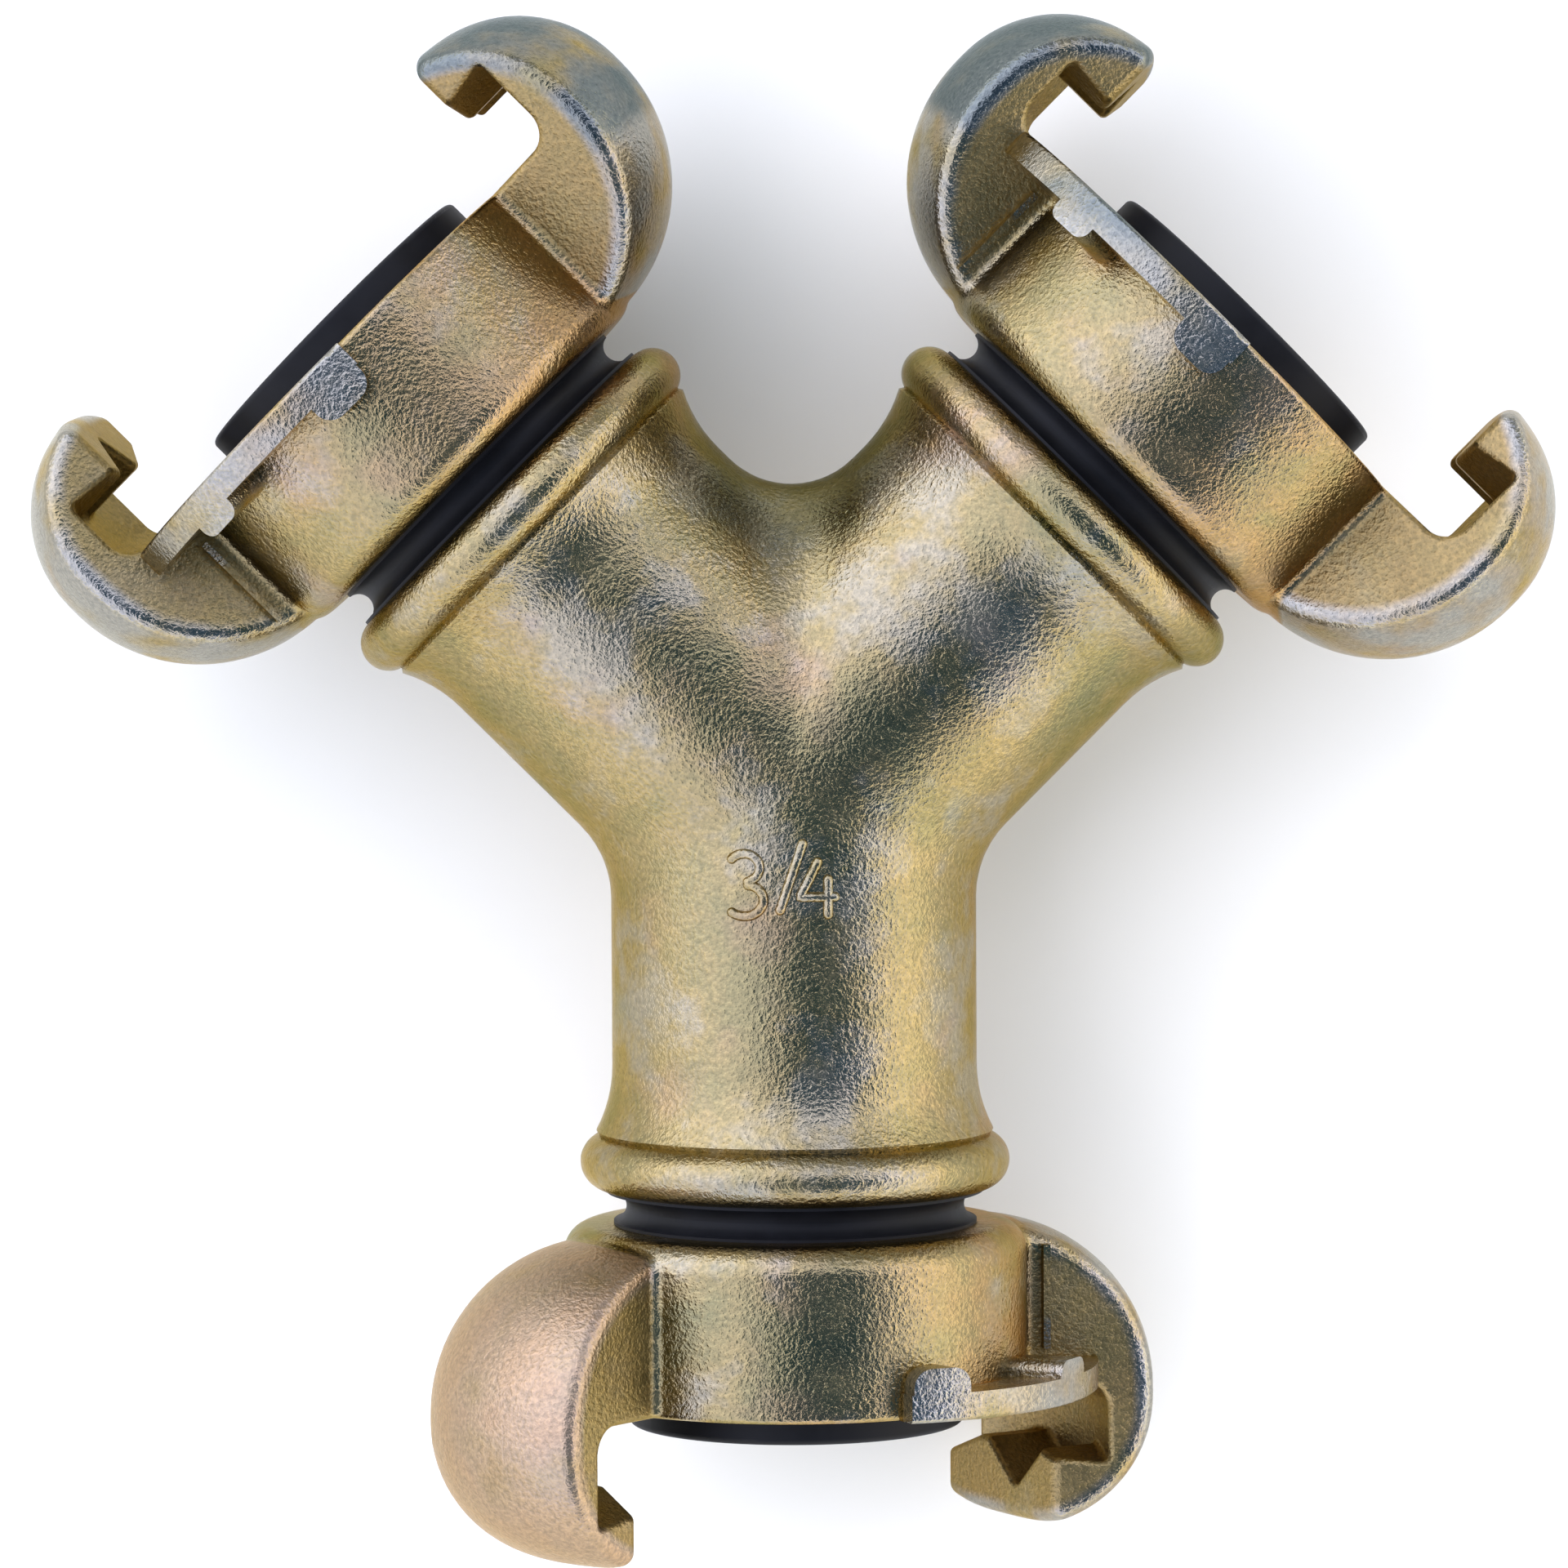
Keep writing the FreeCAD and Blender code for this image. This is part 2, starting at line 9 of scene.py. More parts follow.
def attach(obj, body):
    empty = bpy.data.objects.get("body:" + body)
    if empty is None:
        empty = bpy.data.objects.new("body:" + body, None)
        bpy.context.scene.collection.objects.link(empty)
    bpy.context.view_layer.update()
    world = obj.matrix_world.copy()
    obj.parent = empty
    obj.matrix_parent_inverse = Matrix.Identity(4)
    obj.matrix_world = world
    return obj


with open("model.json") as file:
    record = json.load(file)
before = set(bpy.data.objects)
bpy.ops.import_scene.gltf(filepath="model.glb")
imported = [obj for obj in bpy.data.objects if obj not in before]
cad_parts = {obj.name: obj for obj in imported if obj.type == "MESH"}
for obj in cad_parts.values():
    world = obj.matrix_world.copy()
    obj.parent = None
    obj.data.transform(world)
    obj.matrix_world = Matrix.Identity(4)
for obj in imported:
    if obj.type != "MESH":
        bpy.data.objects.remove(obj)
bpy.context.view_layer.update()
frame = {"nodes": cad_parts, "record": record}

# Y fitting: one malleable iron casting with three beaded sockets, sand cast, machined inside,
# then zinc plated and passivated yellow, so that it is pale gold with olive, rosy and silver
# clouds and bears the fine grain of the sand under a thin clear film.
GOLD = (0.255, 0.200, 0.096)
OLIVE = (0.170, 0.160, 0.083)
ROSE = (0.310, 0.195, 0.130)
CROTCH_SHADE_OLIVE = (0.085, 0.083, 0.045)
SILVER = (0.270, 0.258, 0.225)
EDGE_GAIN = 3.6
COAT = 0.18
COAT_ROUGHNESS = 0.22
ROUGHNESS = 0.19, 0.30
CLOUD_SIZE = 0.016
PALE_SIZE = 0.010
GLOSS_SIZE = 0.004
GRIT_SIZE = 0.00040
GRIT_HEIGHT = 0.00014
DUST_SIZE = 0.00024
DUST_HEIGHT = 0.00004
# Painted shade: the crotch between the arms is painted deep olive, in place of the shade and dark
# reflections there.
CROTCH = (0, 0.0265, 0.0030)
CROTCH_REACH = 0.0060, 0.0125
CROTCH_SHARE = 0.6

# The arms and the stem meet where the axes of the three claw heads cross, all three equally far out.
SLANT = math.sin(math.radians(45))
mount_at = {mount["name"]: np.array(mount["pos_m"]) for mount in frame["record"]["mounts"]}
lower_head = mount_at["lower_claw_head"]
upper_heads = (mount_at["left_claw_head"] + mount_at["right_claw_head"]) / 2
ARMS_MEET = (upper_heads + SLANT * lower_head) / (1 + SLANT)
STEM_TILT = math.asin((ARMS_MEET - lower_head)[2] / np.linalg.norm(ARMS_MEET - lower_head))


def passivated_zinc(name, seed, wear_and_shade=None):
    """Yellow zinc on a casting: clouds of gold, olive, rose and silver, a fine grain of paler and
    darker grit, and a bump from the same grit. Its edges keep its own colour, brighter. seed moves
    the pattern, so no two castings match, and the last argument, where a casting has it, changes
    colour and roughness by place under the grit: wear and tone on the couplings, painted shade in the
    crotch."""
    material = bpy.data.materials.new(name)
    material.use_nodes = True
    tree = material.node_tree
    make, join = tree.nodes.new, tree.links.new
    metal = tree.nodes["Principled BSDF"]
    metal.inputs["Metallic"].default_value = 1.0
    metal.inputs["Coat Weight"].default_value = COAT
    metal.inputs["Coat Roughness"].default_value = COAT_ROUGHNESS
    place = make("ShaderNodeTexCoord")
    moved = make("ShaderNodeMapping")
    moved.inputs["Location"].default_value = (seed * 0.37, seed * 0.19, seed * 0.53)
    join(place.outputs["Object"], moved.inputs["Vector"])

    def noise(size, detail, rough):
        """Noise whose features are about size metres across."""
        node = make("ShaderNodeTexNoise")
        node.inputs["Scale"].default_value = 1.0 / size
        node.inputs["Detail"].default_value = detail
        node.inputs["Roughness"].default_value = rough
        join(moved.outputs["Vector"], node.inputs["Vector"])
        return node.outputs["Fac"]

    def ramp(value, *stops):
        """A colour for each value."""
        node = make("ShaderNodeValToRGB")
        elements = node.color_ramp.elements
        while len(elements) < len(stops):
            elements.new(0.5)
        for element, (spot, colour) in zip(elements, stops):
            element.position = spot
            element.color = (*colour, 1.0)
        join(value, node.inputs["Fac"])
        return node.outputs["Color"]

    def blended(kind, share, under, over):
        """Two colours mixed."""
        node = make("ShaderNodeMix")
        node.data_type = "RGBA"
        node.blend_type = kind
        node.inputs["Factor"].default_value = share
        join(under, node.inputs["A"])
        join(over, node.inputs["B"])
        return node.outputs["Result"]

    broad = noise(CLOUD_SIZE, 3.0, 0.55)
    clouds = ramp(broad, (0.32, OLIVE), (0.46, GOLD), (0.56, GOLD), (0.70, ROSE))
    pale = ramp(noise(PALE_SIZE, 4.0, 0.65), (0.36, OLIVE), (0.50, GOLD), (0.62, SILVER))
    colour = blended("MIX", 0.5, clouds, pale)
    rough = make("ShaderNodeMapRange")
    rough.inputs["From Min"].default_value = 0.3
    rough.inputs["From Max"].default_value = 0.7
    rough.inputs["To Min"].default_value = ROUGHNESS[0]
    rough.inputs["To Max"].default_value = ROUGHNESS[1]
    join(noise(GLOSS_SIZE, 3.0, 0.6), rough.inputs["Value"])
    dull = rough.outputs["Result"]
    if wear_and_shade:
        colour, dull = wear_and_shade(tree, colour, dull)
    join(dull, metal.inputs["Roughness"])
    edge = make("ShaderNodeVectorMath")
    edge.operation = "SCALE"
    edge.inputs["Scale"].default_value = EDGE_GAIN
    join(colour, edge.inputs[0])
    join(edge.outputs["Vector"], metal.inputs["Specular Tint"])
    grit = noise(GRIT_SIZE, 2.0, 0.6)
    dust = noise(DUST_SIZE, 1.0, 0.5)
    dots = ramp(grit, (0.32, (0.50, 0.55, 0.58)), (0.50, (1, 1, 1)), (0.68, (1.5, 1.45, 1.36)))
    join(blended("MULTIPLY", 0.45, colour, dots), metal.inputs["Base Color"])

    fine = make("ShaderNodeBump")
    fine.inputs["Strength"].default_value = 0.5
    fine.inputs["Distance"].default_value = DUST_HEIGHT
    join(dust, fine.inputs["Height"])
    coarse = make("ShaderNodeBump")
    coarse.inputs["Strength"].default_value = 0.8
    coarse.inputs["Distance"].default_value = GRIT_HEIGHT
    join(grit, coarse.inputs["Height"])
    join(fine.outputs["Normal"], coarse.inputs["Normal"])
    join(coarse.outputs["Normal"], metal.inputs["Normal"])
    join(coarse.outputs["Normal"], metal.inputs["Coat Normal"])
    return material


def dressed(node, material):
    """The node's own mesh with this material on all of it."""
    mesh = frame["nodes"][node].data
    mesh.materials.clear()
    mesh.materials.append(material)


def painted_crotch_shade(tree, colour, dull):
    """Painted shade: the colour turns deep olive in the crotch, standing in for the shade and dark
    reflections that the arms cast on each other there. It thins with the distance from a point
    between the arms, from the nearer reach to the farther one."""
    make, join = tree.nodes.new, tree.links.new
    place = make("ShaderNodeTexCoord")
    away = make("ShaderNodeVectorMath")
    away.operation = "DISTANCE"
    away.inputs[1].default_value = ARMS_MEET + CROTCH
    join(place.outputs["Object"], away.inputs[0])
    share = make("ShaderNodeMapRange")
    share.interpolation_type = "SMOOTHSTEP"
    share.inputs["From Min"].default_value = CROTCH_REACH[0]
    share.inputs["From Max"].default_value = CROTCH_REACH[1]
    share.inputs["To Min"].default_value = CROTCH_SHARE
    share.inputs["To Max"].default_value = 0.0
    join(away.outputs["Value"], share.inputs["Value"])
    # Painted shade: deep olive laid over the zinc in the crotch.
    film = make("ShaderNodeMix")
    film.data_type = "RGBA"
    film.inputs["B"].default_value = (*CROTCH_SHADE_OLIVE, 1.0)
    join(share.outputs["Result"], film.inputs["Factor"])
    join(colour, film.inputs["A"])
    return film.outputs["Result"], dull


# The fitting's zinc carries the painted crotch shade.
fitting_zinc = passivated_zinc("zinc_fitting", 1.0, painted_crotch_shade)
dressed("y_fitting", fitting_zinc)

# Size mark: the pipe size in numerals that stand up from the stem. They are part of the casting,
# rounded over like any cast letter, and run a little uphill as the pattern maker cut them.
STEM_RADIUS = 0.01575
STROKE_WIDTH = 0.00085
STROKE_HEIGHT = 0.00038
STROKE_STEP = 0.0002
SMOOTHINGS = 3
END_ROWS = 7
ROUND_POINTS = 16
DRAWN = 0.001
NUMERALS = {
    "three_top": [(-5.6, -6.2), (-4.9, -5.5), (-3.7, -5.4), (-2.8, -6.2), (-3.0, -7.4), (-4.3, -8.0)],
    "three_foot": [(-4.3, -8.0), (-2.9, -8.3), (-2.4, -9.5), (-3.2, -10.6), (-4.6, -10.8), (-5.7, -10.2)],
    "slash": [(-1.3, -10.6), (-0.2, -7.4), (0.9, -4.2)],
    "four_arm": [(2.2, -5.8), (1.4, -7.4), (0.5, -9.1), (2.2, -9.1), (3.9, -9.1)],
    "four_leg": [(2.9, -7.2), (2.9, -9.1), (2.9, -11.0)],
}


def cast_stroke(path, width, height, corners):
    """One stroke of a numeral, laid on the stem.

    Along u the middle line runs through the points, smoothed unless the stroke has corners. Round v
    the section is an ellipse, width across and height up, half of it sunk in the casting:
    across = width / 2 * cos(v), up = height * sin(v). Near both ends the ellipse shrinks as a circle
    does, to a pole. Across the stem the drawing is rolled up: a place x lies at the angle x / R."""
    path = np.array(path) * DRAWN
    if not corners:
        for _ in range(SMOOTHINGS):
            ends = path[:1], path[-1:]
            path = np.stack([0.75 * path[:-1] + 0.25 * path[1:], 0.25 * path[:-1] + 0.75 * path[1:]], 1)
            path = np.concatenate([ends[0], path.reshape(-1, 2), ends[1]])
    steps = np.r_[0, np.cumsum(np.linalg.norm(np.diff(path, axis=0), axis=1))]
    long = steps[-1]
    half = width / 2
    cap = half * (1 - np.cos(np.linspace(0, np.pi / 2, END_ROWS)))
    between = np.linspace(half, long - half, max(8, int(long / STROKE_STEP)))[1:-1]
    u = np.r_[cap, between, long - cap[::-1]]
    middle = np.stack([np.interp(u, steps, path[:, 0]), np.interp(u, steps, path[:, 1])], 1)
    along = np.gradient(middle, u, axis=0)
    along /= np.linalg.norm(along, axis=1, keepdims=True)
    side = np.stack([-along[:, 1], along[:, 0]], 1)
    inset = np.clip(1 - np.minimum(u, long - u) / half, 0, 1)
    swell = np.sqrt(np.clip(1 - inset**2, 0, 1))
    v = np.linspace(0, 2 * np.pi, ROUND_POINTS, endpoint=False)
    flat = middle[:, None] + side[:, None] * (half * swell[:, None] * np.cos(v))[..., None]
    up = STEM_RADIUS + height * swell[:, None] * np.sin(v)
    turn = flat[..., 0] / STEM_RADIUS
    x, y, z = up * np.sin(turn), flat[..., 1], up * np.cos(turn)
    lean = math.cos(STEM_TILT), math.sin(STEM_TILT)
    rings = np.stack([x, y * lean[0] - z * lean[1], y * lean[1] + z * lean[0]], -1) + ARMS_MEET
    rows, around = len(u), len(v)
    inner = rings[1:-1].reshape(-1, 3)
    vertices = np.concatenate([inner, rings[:1].mean(1), rings[-1:].mean(1)])
    grid = np.arange((rows - 2) * around).reshape(rows - 2, around)
    beside = np.roll(grid, -1, axis=1)
    quads = np.stack([grid[:-1], grid[1:], beside[1:], beside[:-1]], -1).reshape(-1, 4)
    first = np.stack([grid[0], beside[0], np.full(around, len(inner))], -1)
    last = np.stack([beside[-1], grid[-1], np.full(around, len(inner) + 1)], -1)
    return vertices, quads.tolist() + first.tolist() + last.tolist()


mark_vertices, mark_faces = [], []
for word, path in NUMERALS.items():
    vertices, faces = cast_stroke(path, STROKE_WIDTH, STROKE_HEIGHT, word.startswith("four"))
    start = sum(map(len, mark_vertices))
    mark_vertices.append(vertices)
    mark_faces += [[start + corner for corner in face] for face in faces]
mark_mesh = bpy.data.meshes.new("size_mark")
mark_mesh.from_pydata(np.concatenate(mark_vertices).tolist(), [], mark_faces)
mark_mesh.shade_smooth()
mark_mesh.materials.append(fitting_zinc)
size_mark = bpy.data.objects.new("size_mark", mark_mesh)
bpy.context.scene.collection.objects.link(size_mark)
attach(size_mark, "root")

# Couplings: three castings alike, each a hub with two claws, screwed into a socket. Wear from handling
# has taken the yellow film off the claws' round backs and the ribs, and two claws are slate grey on
# their backs. The sheltered sides kept it dull and deep, one side of each is amber, and one claw is rosy
# all over.
LAID = Matrix.Rotation(STEM_TILT, 4, "X")
SHOULDER = 0.03835
STEEL = (0.256, 0.247, 0.218)
SLATE = (0.120, 0.135, 0.130)
BLUSH = (0.325, 0.230, 0.153)
HONEY = (0.225, 0.165, 0.062)
AMBER = (0.290, 0.187, 0.092)
BULB_AXIS = 0.0147
BELLY = 0.0038, 0.0154, 0.0149
CROWN = 0.0073, 0.0162, 0.0114
DRUM_EDGE = 0.0202, 0.0208
WORN_DEPTH = 0.0018, 0.0007
CLAW_SLOPE = math.tan(math.radians(22.5))
CLAW_GAP = 0.0002, 0.0008
RIB_FOOT = 0.0085, 0.0095
PATCH_SCALE = 150.0
PATCHY = 0.30, 0.62
WASH_REACH = 0.012
WASH_SHARE = 0.75
SHELTER_SHARE = 0.7
SHELTER_DULL = 0.16
RIB_SHARE = 0.7
SLATE_RISE = 0.008, 0.018
SLATE_SIDE = 0.002, 0.010
SLATE_PATCHY = 0.20, 0.60
ROSY_SIDE = 0.012, 0.019
ROSY_SHARE = 0.5
ROSY_DULL = 0.14


def handled(angle, turn, amber, slate, blush):
    """How the zinc of one coupling varies from place to place.

    In the coupling's own frame, z runs along its axis and x through both claws. With
    a = hypot(|x| - axis, y), a claw's back is the turned surface whose section is an arc of radius r
    round (a0, z0), so the depth under it is r - hypot(max(a - a0, 0), z - z0), with the belly's arc
    below z0 of the crown and the crown's arc above it. The back is silver, in patches, down to the
    lesser depth of wear, and fades out by the greater. A rib is what lies outside the drum, clear of
    both claws and near the face, and the rest outside the drum is sheltered. The amber wash grows
    along x, the way amber's sign says, and on the claw that slate's sign names the back turns slate
    grey from the belly to the beak. With blush, the claw on the side of positive x is rosy."""
    def placed(tree, colour, dull):
        return silvered(tree, colour, dull, math.radians(angle), math.radians(turn), amber, slate, blush)
    return placed


def silvered(tree, colour, dull, angle, turn, amber, slate, blush):
    """The colour and roughness with wash, shelter, silver, slate and blush laid on in that order."""
    make, join = tree.nodes.new, tree.links.new

    def maths(kind, *values):
        """One sum, with each value a socket or a number."""
        node = make("ShaderNodeMath")
        node.operation = kind
        for index, value in enumerate(values):
            if isinstance(value, (int, float)):
                node.inputs[index].default_value = value
            else:
                join(value, node.inputs[index])
        return node.outputs["Value"]

    def length(one, two):
        """The long side of a right-angled triangle, from the two short ones."""
        return maths("SQRT", maths("ADD", maths("MULTIPLY", one, one), maths("MULTIPLY", two, two)))

    def fade(value, low, high):
        """0 below low, 1 above high, smooth between; the other way round when low is the larger."""
        node = make("ShaderNodeMapRange")
        node.interpolation_type = "SMOOTHSTEP"
        node.inputs["From Min"].default_value = min(low, high)
        node.inputs["From Max"].default_value = max(low, high)
        node.inputs["To Min"].default_value = float(low > high)
        node.inputs["To Max"].default_value = float(low < high)
        join(value, node.inputs["Value"])
        return node.outputs["Result"]

    turned = LAID @ Matrix.Rotation(angle, 4, "Z")
    own = turned @ Matrix.Rotation(-math.pi / 2, 4, "X") @ Matrix.Rotation(-turn, 4, "Z")
    place = make("ShaderNodeTexCoord")
    local = make("ShaderNodeMapping")
    local.vector_type = "TEXTURE"
    local.inputs["Location"].default_value = Vector(ARMS_MEET) + turned @ Vector((0, SHOULDER, 0))
    local.inputs["Rotation"].default_value = own.to_euler()
    join(place.outputs["Object"], local.inputs["Vector"])
    split = make("ShaderNodeSeparateXYZ")
    join(local.outputs["Vector"], split.inputs["Vector"])
    x, y, z = split.outputs["X"], split.outputs["Y"], split.outputs["Z"]
    wide = maths("ABSOLUTE", x)
    from_bulb = length(maths("SUBTRACT", wide, BULB_AXIS), y)
    depth = []
    for middle, level, radius in (BELLY, CROWN):
        away = maths("MAXIMUM", maths("SUBTRACT", from_bulb, middle), 0.0)
        depth.append(maths("SUBTRACT", radius, length(away, maths("SUBTRACT", z, level))))
    above = maths("GREATER_THAN", z, CROWN[1])
    under = maths("ADD", maths("MULTIPLY", above, depth[1]),
                  maths("MULTIPLY", maths("SUBTRACT", 1.0, above), depth[0]))
    outside = fade(length(x, y), *DRUM_EDGE)
    back = maths("MULTIPLY", fade(under, *WORN_DEPTH), outside)
    beside_claw = maths("SUBTRACT", maths("ABSOLUTE", y), maths("MULTIPLY", wide, CLAW_SLOPE))
    clear = maths("MULTIPLY", fade(beside_claw, *CLAW_GAP), outside)
    rib = maths("MULTIPLY", clear, fade(z, *RIB_FOOT))
    patches = make("ShaderNodeTexNoise")
    patches.inputs["Scale"].default_value = PATCH_SCALE
    patches.inputs["Detail"].default_value = 3.0
    join(local.outputs["Vector"], patches.inputs["Vector"])
    sheltered = maths("MULTIPLY", outside, maths("SUBTRACT", 1.0, maths("MAXIMUM", back, rib)))
    uneven = fade(patches.outputs["Fac"], *PATCHY)

    def laid(share, under, over):
        """One film over another."""
        node = make("ShaderNodeMix")
        node.data_type = "RGBA"
        join(share, node.inputs["Factor"])
        join(under, node.inputs["A"])
        node.inputs["B"].default_value = (*over, 1.0)
        return node.outputs["Result"]

    wash = fade(x, -WASH_REACH * amber, WASH_REACH * amber)
    colour = laid(maths("MULTIPLY", maths("MULTIPLY", wash, uneven), WASH_SHARE), colour, AMBER)
    colour = laid(maths("MULTIPLY", sheltered, SHELTER_SHARE), colour, HONEY)
    silver = maths("MAXIMUM", back, maths("MULTIPLY", rib, RIB_SHARE))
    colour = laid(maths("MULTIPLY", silver, uneven), colour, STEEL)
    if slate:
        darkened = maths("MULTIPLY", maths("MULTIPLY", x, slate), fade(z, *SLATE_RISE))
        share = maths("MULTIPLY", fade(darkened, *SLATE_SIDE), fade(patches.outputs["Fac"], *SLATE_PATCHY))
        colour = laid(maths("MULTIPLY", share, back), colour, SLATE)
    if blush:
        rosy = maths("MULTIPLY", fade(x, *ROSY_SIDE), back)
        flushed = maths("ADD", ROSY_SHARE, maths("MULTIPLY", uneven, 1.0 - ROSY_SHARE))
        colour = laid(maths("MULTIPLY", rosy, flushed), colour, BLUSH)
        dull = maths("ADD", dull, maths("MULTIPLY", rosy, ROSY_DULL))
    dull = maths("ADD", dull, maths("MULTIPLY", sheltered, SHELTER_DULL))
    return colour, dull


# For each coupling: its arm's angle, its turn about its own axis, its amber side, the side of its
# slate-grey claw, and whether the claw on its x side is rosy.
COUPLINGS = {
    "left": (45, 5.0, 1, 1, False),
    "right": (-45, 3.3, 1, -1, False),
    "lower": (180, 31.0, -1, 0, True),
}
for index, (arm, ways) in enumerate(COUPLINGS.items()):
    zinc = passivated_zinc(f"zinc_{arm}_coupling", 2.0 + index, handled(*ways))
    dressed(f"{arm}_coupling", zinc)

# Seals: moulded rings of black rubber, satin with a faint bluish sheen. One is squeezed between each
# coupling's shoulder and its socket, and one is snapped into each coupling's face.
RUBBER = (0.004, 0.0042, 0.005)
RUBBER_SPREAD = 3.0
RUBBER_ROUGHNESS = 0.42, 0.60
RUBBER_GRAIN = 400.0


def black_rubber(name):
    """Moulded rubber: nearly black, a little uneven in gloss, with a very fine bump."""
    material = bpy.data.materials.new(name)
    material.use_nodes = True
    tree = material.node_tree
    make, join = tree.nodes.new, tree.links.new
    skin = tree.nodes["Principled BSDF"]
    skin.inputs["Specular IOR Level"].default_value = 0.13
    place = make("ShaderNodeTexCoord")
    cloud = make("ShaderNodeTexNoise")
    cloud.inputs["Scale"].default_value = RUBBER_GRAIN
    cloud.inputs["Detail"].default_value = 4.0
    join(place.outputs["Object"], cloud.inputs["Vector"])
    tone = make("ShaderNodeValToRGB")
    tone.color_ramp.elements[0].color = (*RUBBER, 1.0)
    tone.color_ramp.elements[1].color = (*(RUBBER_SPREAD * part for part in RUBBER), 1.0)
    join(cloud.outputs["Fac"], tone.inputs["Fac"])
    join(tone.outputs["Color"], skin.inputs["Base Color"])
    rough = make("ShaderNodeMapRange")
    rough.inputs["To Min"].default_value = RUBBER_ROUGHNESS[0]
    rough.inputs["To Max"].default_value = RUBBER_ROUGHNESS[1]
    join(cloud.outputs["Fac"], rough.inputs["Value"])
    join(rough.outputs["Result"], skin.inputs["Roughness"])
    bump = make("ShaderNodeBump")
    bump.inputs["Strength"].default_value = 0.3
    bump.inputs["Distance"].default_value = 0.00005
    join(cloud.outputs["Fac"], bump.inputs["Height"])
    join(bump.outputs["Normal"], skin.inputs["Normal"])
    return material


rubber = black_rubber("black_rubber")
for arm in ("left", "right", "lower"):
    dressed(f"{arm}_shoulder_seal", rubber)
    dressed(f"{arm}_face_seal", rubber)

# Floor: a plain sheet of pale warm paper that the object lies on, wide enough to fill every view.
# It is no piece of the object.
FLOOR_HALF = 3.0
PAPER_DARKER = (0.93, 0.905, 0.79)
PAPER_PALER = (0.95, 0.925, 0.81)
floor_mesh = bpy.data.meshes.new("floor")
floor_mesh.from_pydata(
    [(-FLOOR_HALF, -FLOOR_HALF, 0), (FLOOR_HALF, -FLOOR_HALF, 0),
     (FLOOR_HALF, FLOOR_HALF, 0), (-FLOOR_HALF, FLOOR_HALF, 0)], [], [(0, 1, 2, 3)],
)
floor = bpy.data.objects.new("floor", floor_mesh)
bpy.context.scene.collection.objects.link(floor)
paper = bpy.data.materials.new("pale_paper")
paper.use_nodes = True
sheet = paper.node_tree.nodes["Principled BSDF"]
sheet.inputs["Roughness"].default_value = 0.9
floor_place = paper.node_tree.nodes.new("ShaderNodeTexCoord")
fibre = paper.node_tree.nodes.new("ShaderNodeTexNoise")
fibre.inputs["Scale"].default_value = 60.0
fibre.inputs["Detail"].default_value = 4.0
paper_tone = paper.node_tree.nodes.new("ShaderNodeValToRGB")
paper_tone.color_ramp.elements[0].color = (*PAPER_DARKER, 1.0)
paper_tone.color_ramp.elements[1].color = (*PAPER_PALER, 1.0)
paper.node_tree.links.new(floor_place.outputs["Object"], fibre.inputs["Vector"])
paper.node_tree.links.new(fibre.outputs["Fac"], paper_tone.inputs["Fac"])
paper.node_tree.links.new(paper_tone.outputs["Color"], sheet.inputs["Base Color"])
floor_mesh.materials.append(paper)

# Light: a white tent all round the object, cool overhead and warm towards the floor, and open to
# the dark studio overhead, a little towards the lower right. It is brightest low down on the left
# and on the right, and dimmest low down behind.
OVERHEAD = (-0.20, 0.10, 1.00)
OPENING = (0.30, -0.17, 0.94)
LEFT = (-0.75, 0.60, 0.35)
RIGHT = (1.00, -0.10, 0.35)
BEHIND = (0.30, 1.00, 0.05)
BRIGHT = 2.2
COOL = (0.95, 1.00, 1.27)
WARM = (1.05, 0.98, 0.72)
DARK = (0.03, 0.07, 0.10)
PLAIN = (1.0, 1.0, 1.0)
world = bpy.data.worlds.new("studio")
bpy.context.scene.world = world
world.use_nodes = True
sky = world.node_tree
make, join = sky.nodes.new, sky.links.new
way = make("ShaderNodeTexCoord")


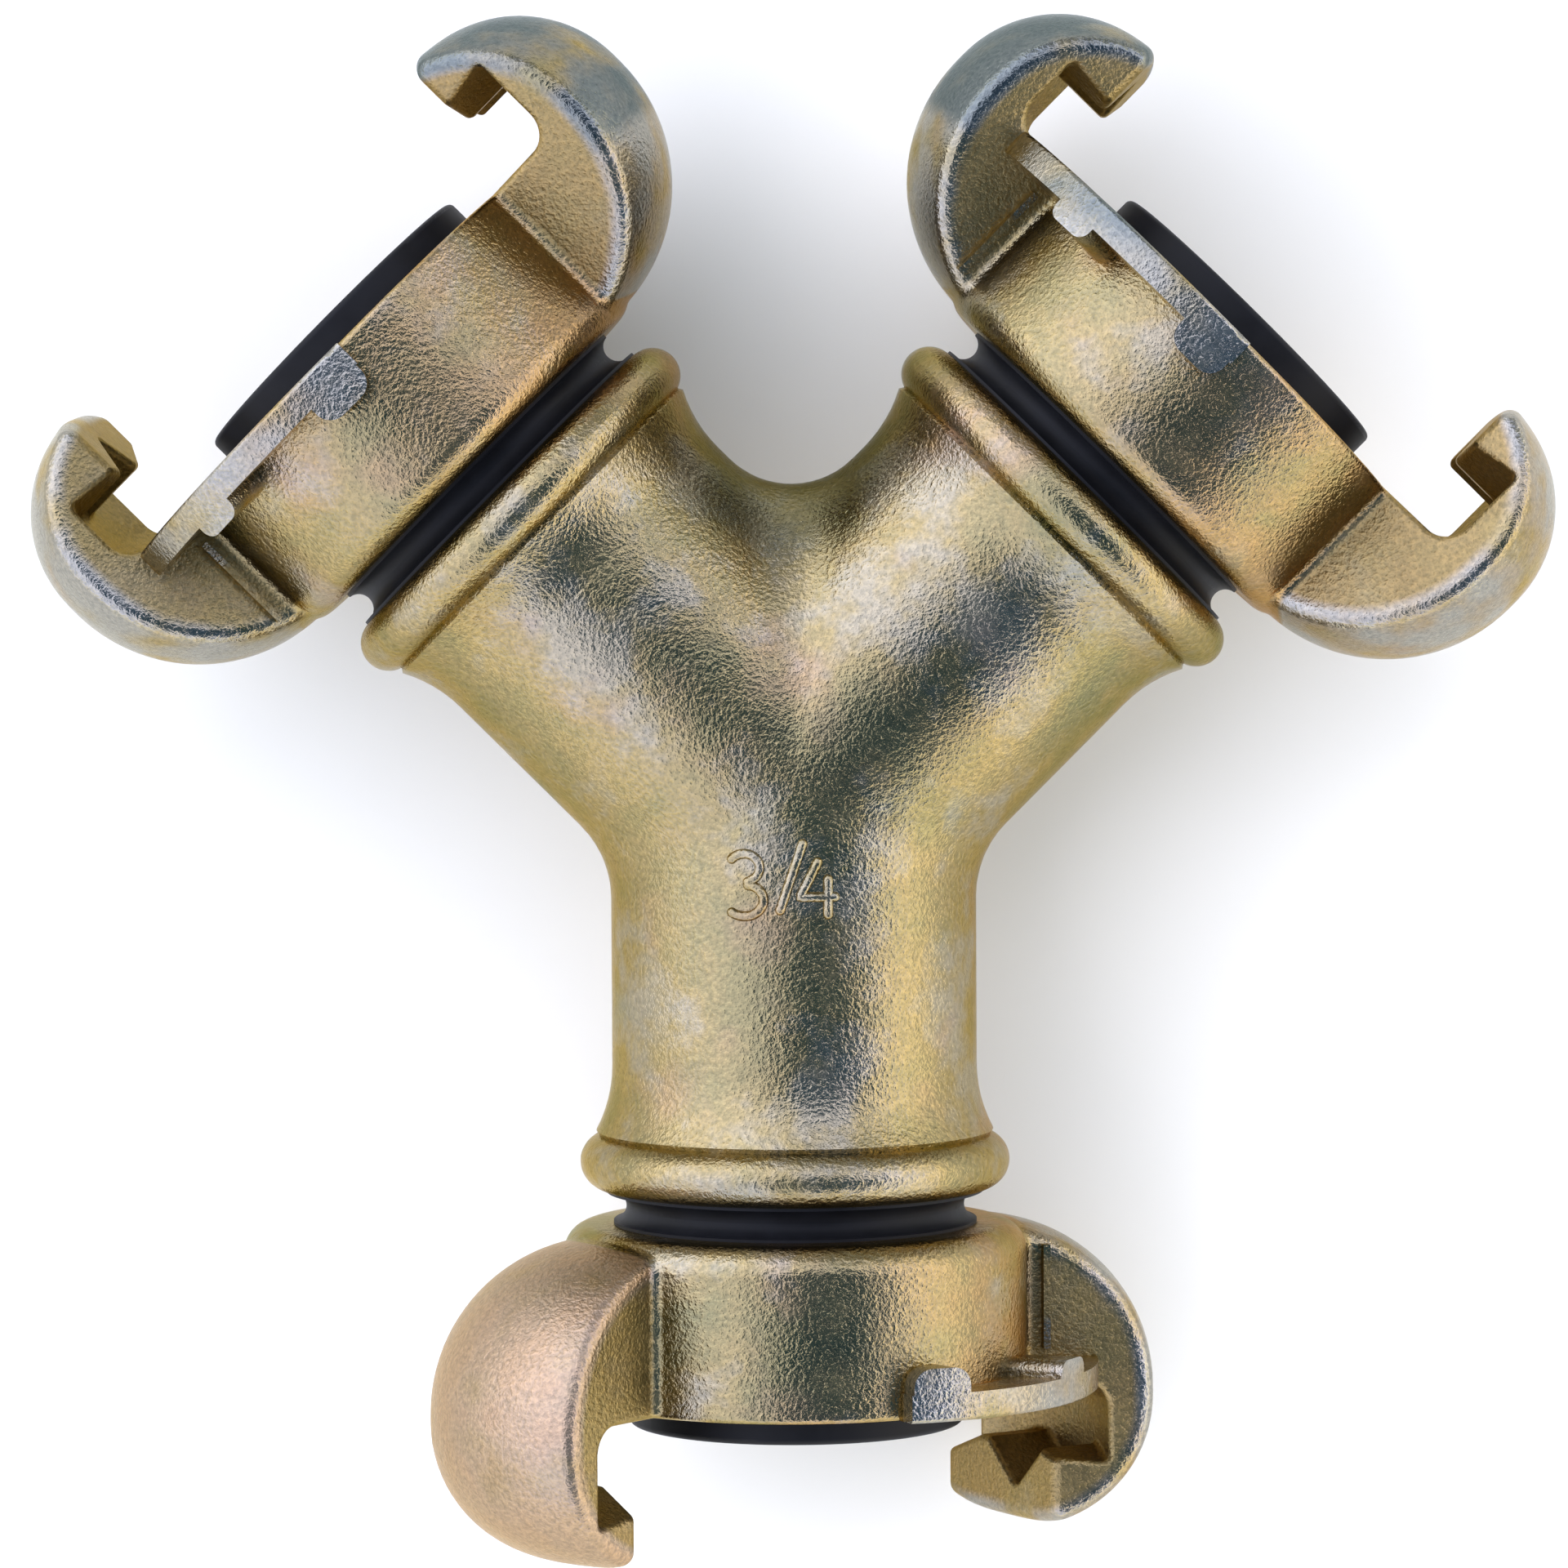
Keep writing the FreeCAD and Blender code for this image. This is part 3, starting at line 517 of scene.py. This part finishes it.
def towards(direction, far, far_colour, near, near_colour):
    """A colour that turns from one to another as the angle from a direction shrinks."""
    cosine = make("ShaderNodeVectorMath")
    cosine.operation = "DOT_PRODUCT"
    cosine.inputs[1].default_value = tuple(np.array(direction) / np.linalg.norm(direction))
    join(way.outputs["Generated"], cosine.inputs[0])
    span = make("ShaderNodeMapRange")
    span.interpolation_type = "SMOOTHSTEP"
    span.inputs["From Min"].default_value = math.cos(math.radians(far))
    span.inputs["From Max"].default_value = math.cos(math.radians(near))
    join(cosine.outputs["Value"], span.inputs["Value"])
    blend = make("ShaderNodeMix")
    blend.data_type = "RGBA"
    blend.inputs["A"].default_value = (*far_colour, 1)
    blend.inputs["B"].default_value = (*near_colour, 1)
    join(span.outputs["Result"], blend.inputs["Factor"])
    return blend.outputs["Result"]


tent = towards(OVERHEAD, 90, WARM, 55, COOL)
for part in (
    towards(OPENING, 36, PLAIN, 30, DARK),
    towards(LEFT, 50, PLAIN, 15, (1.38, 1.38, 1.36)),
    towards(RIGHT, 50, PLAIN, 15, (1.34, 1.33, 1.48)),
    towards(BEHIND, 44, PLAIN, 22, (0.24, 0.26, 0.27)),
):
    product = make("ShaderNodeMix")
    product.data_type = "RGBA"
    product.blend_type = "MULTIPLY"
    product.inputs["Factor"].default_value = 1.0
    join(tent, product.inputs["A"])
    join(part, product.inputs["B"])
    tent = product.outputs["Result"]
join(tent, sky.nodes["Background"].inputs["Color"])
sky.nodes["Background"].inputs["Strength"].default_value = BRIGHT

# Camera: it looks down on the point where the arms meet from 0.6 m away, leaning 4.9 degrees back
# over the arms and rolled very slightly, as the outline in the photograph asks.
FILM_WIDTH = 36.0
DISTANCE = 0.60
VIEW_WIDTH = 0.1352
LEAN = math.radians(4.9)
ROLL = math.radians(-0.31)
AIM = (-0.00050, -0.00048, 0)
sight = ARMS_MEET + AIM
camera_data = bpy.data.cameras.new("camera")
camera_data.sensor_width = FILM_WIDTH
camera_data.lens = FILM_WIDTH * DISTANCE / VIEW_WIDTH
camera = bpy.data.objects.new("camera", camera_data)
bpy.context.scene.collection.objects.link(camera)
camera.location = sight + DISTANCE * np.array([0, math.sin(LEAN), math.cos(LEAN)])
camera.rotation_euler = (-LEAN, 0, ROLL)
bpy.context.scene.camera = camera
bpy.context.scene.view_settings.view_transform = "Standard"
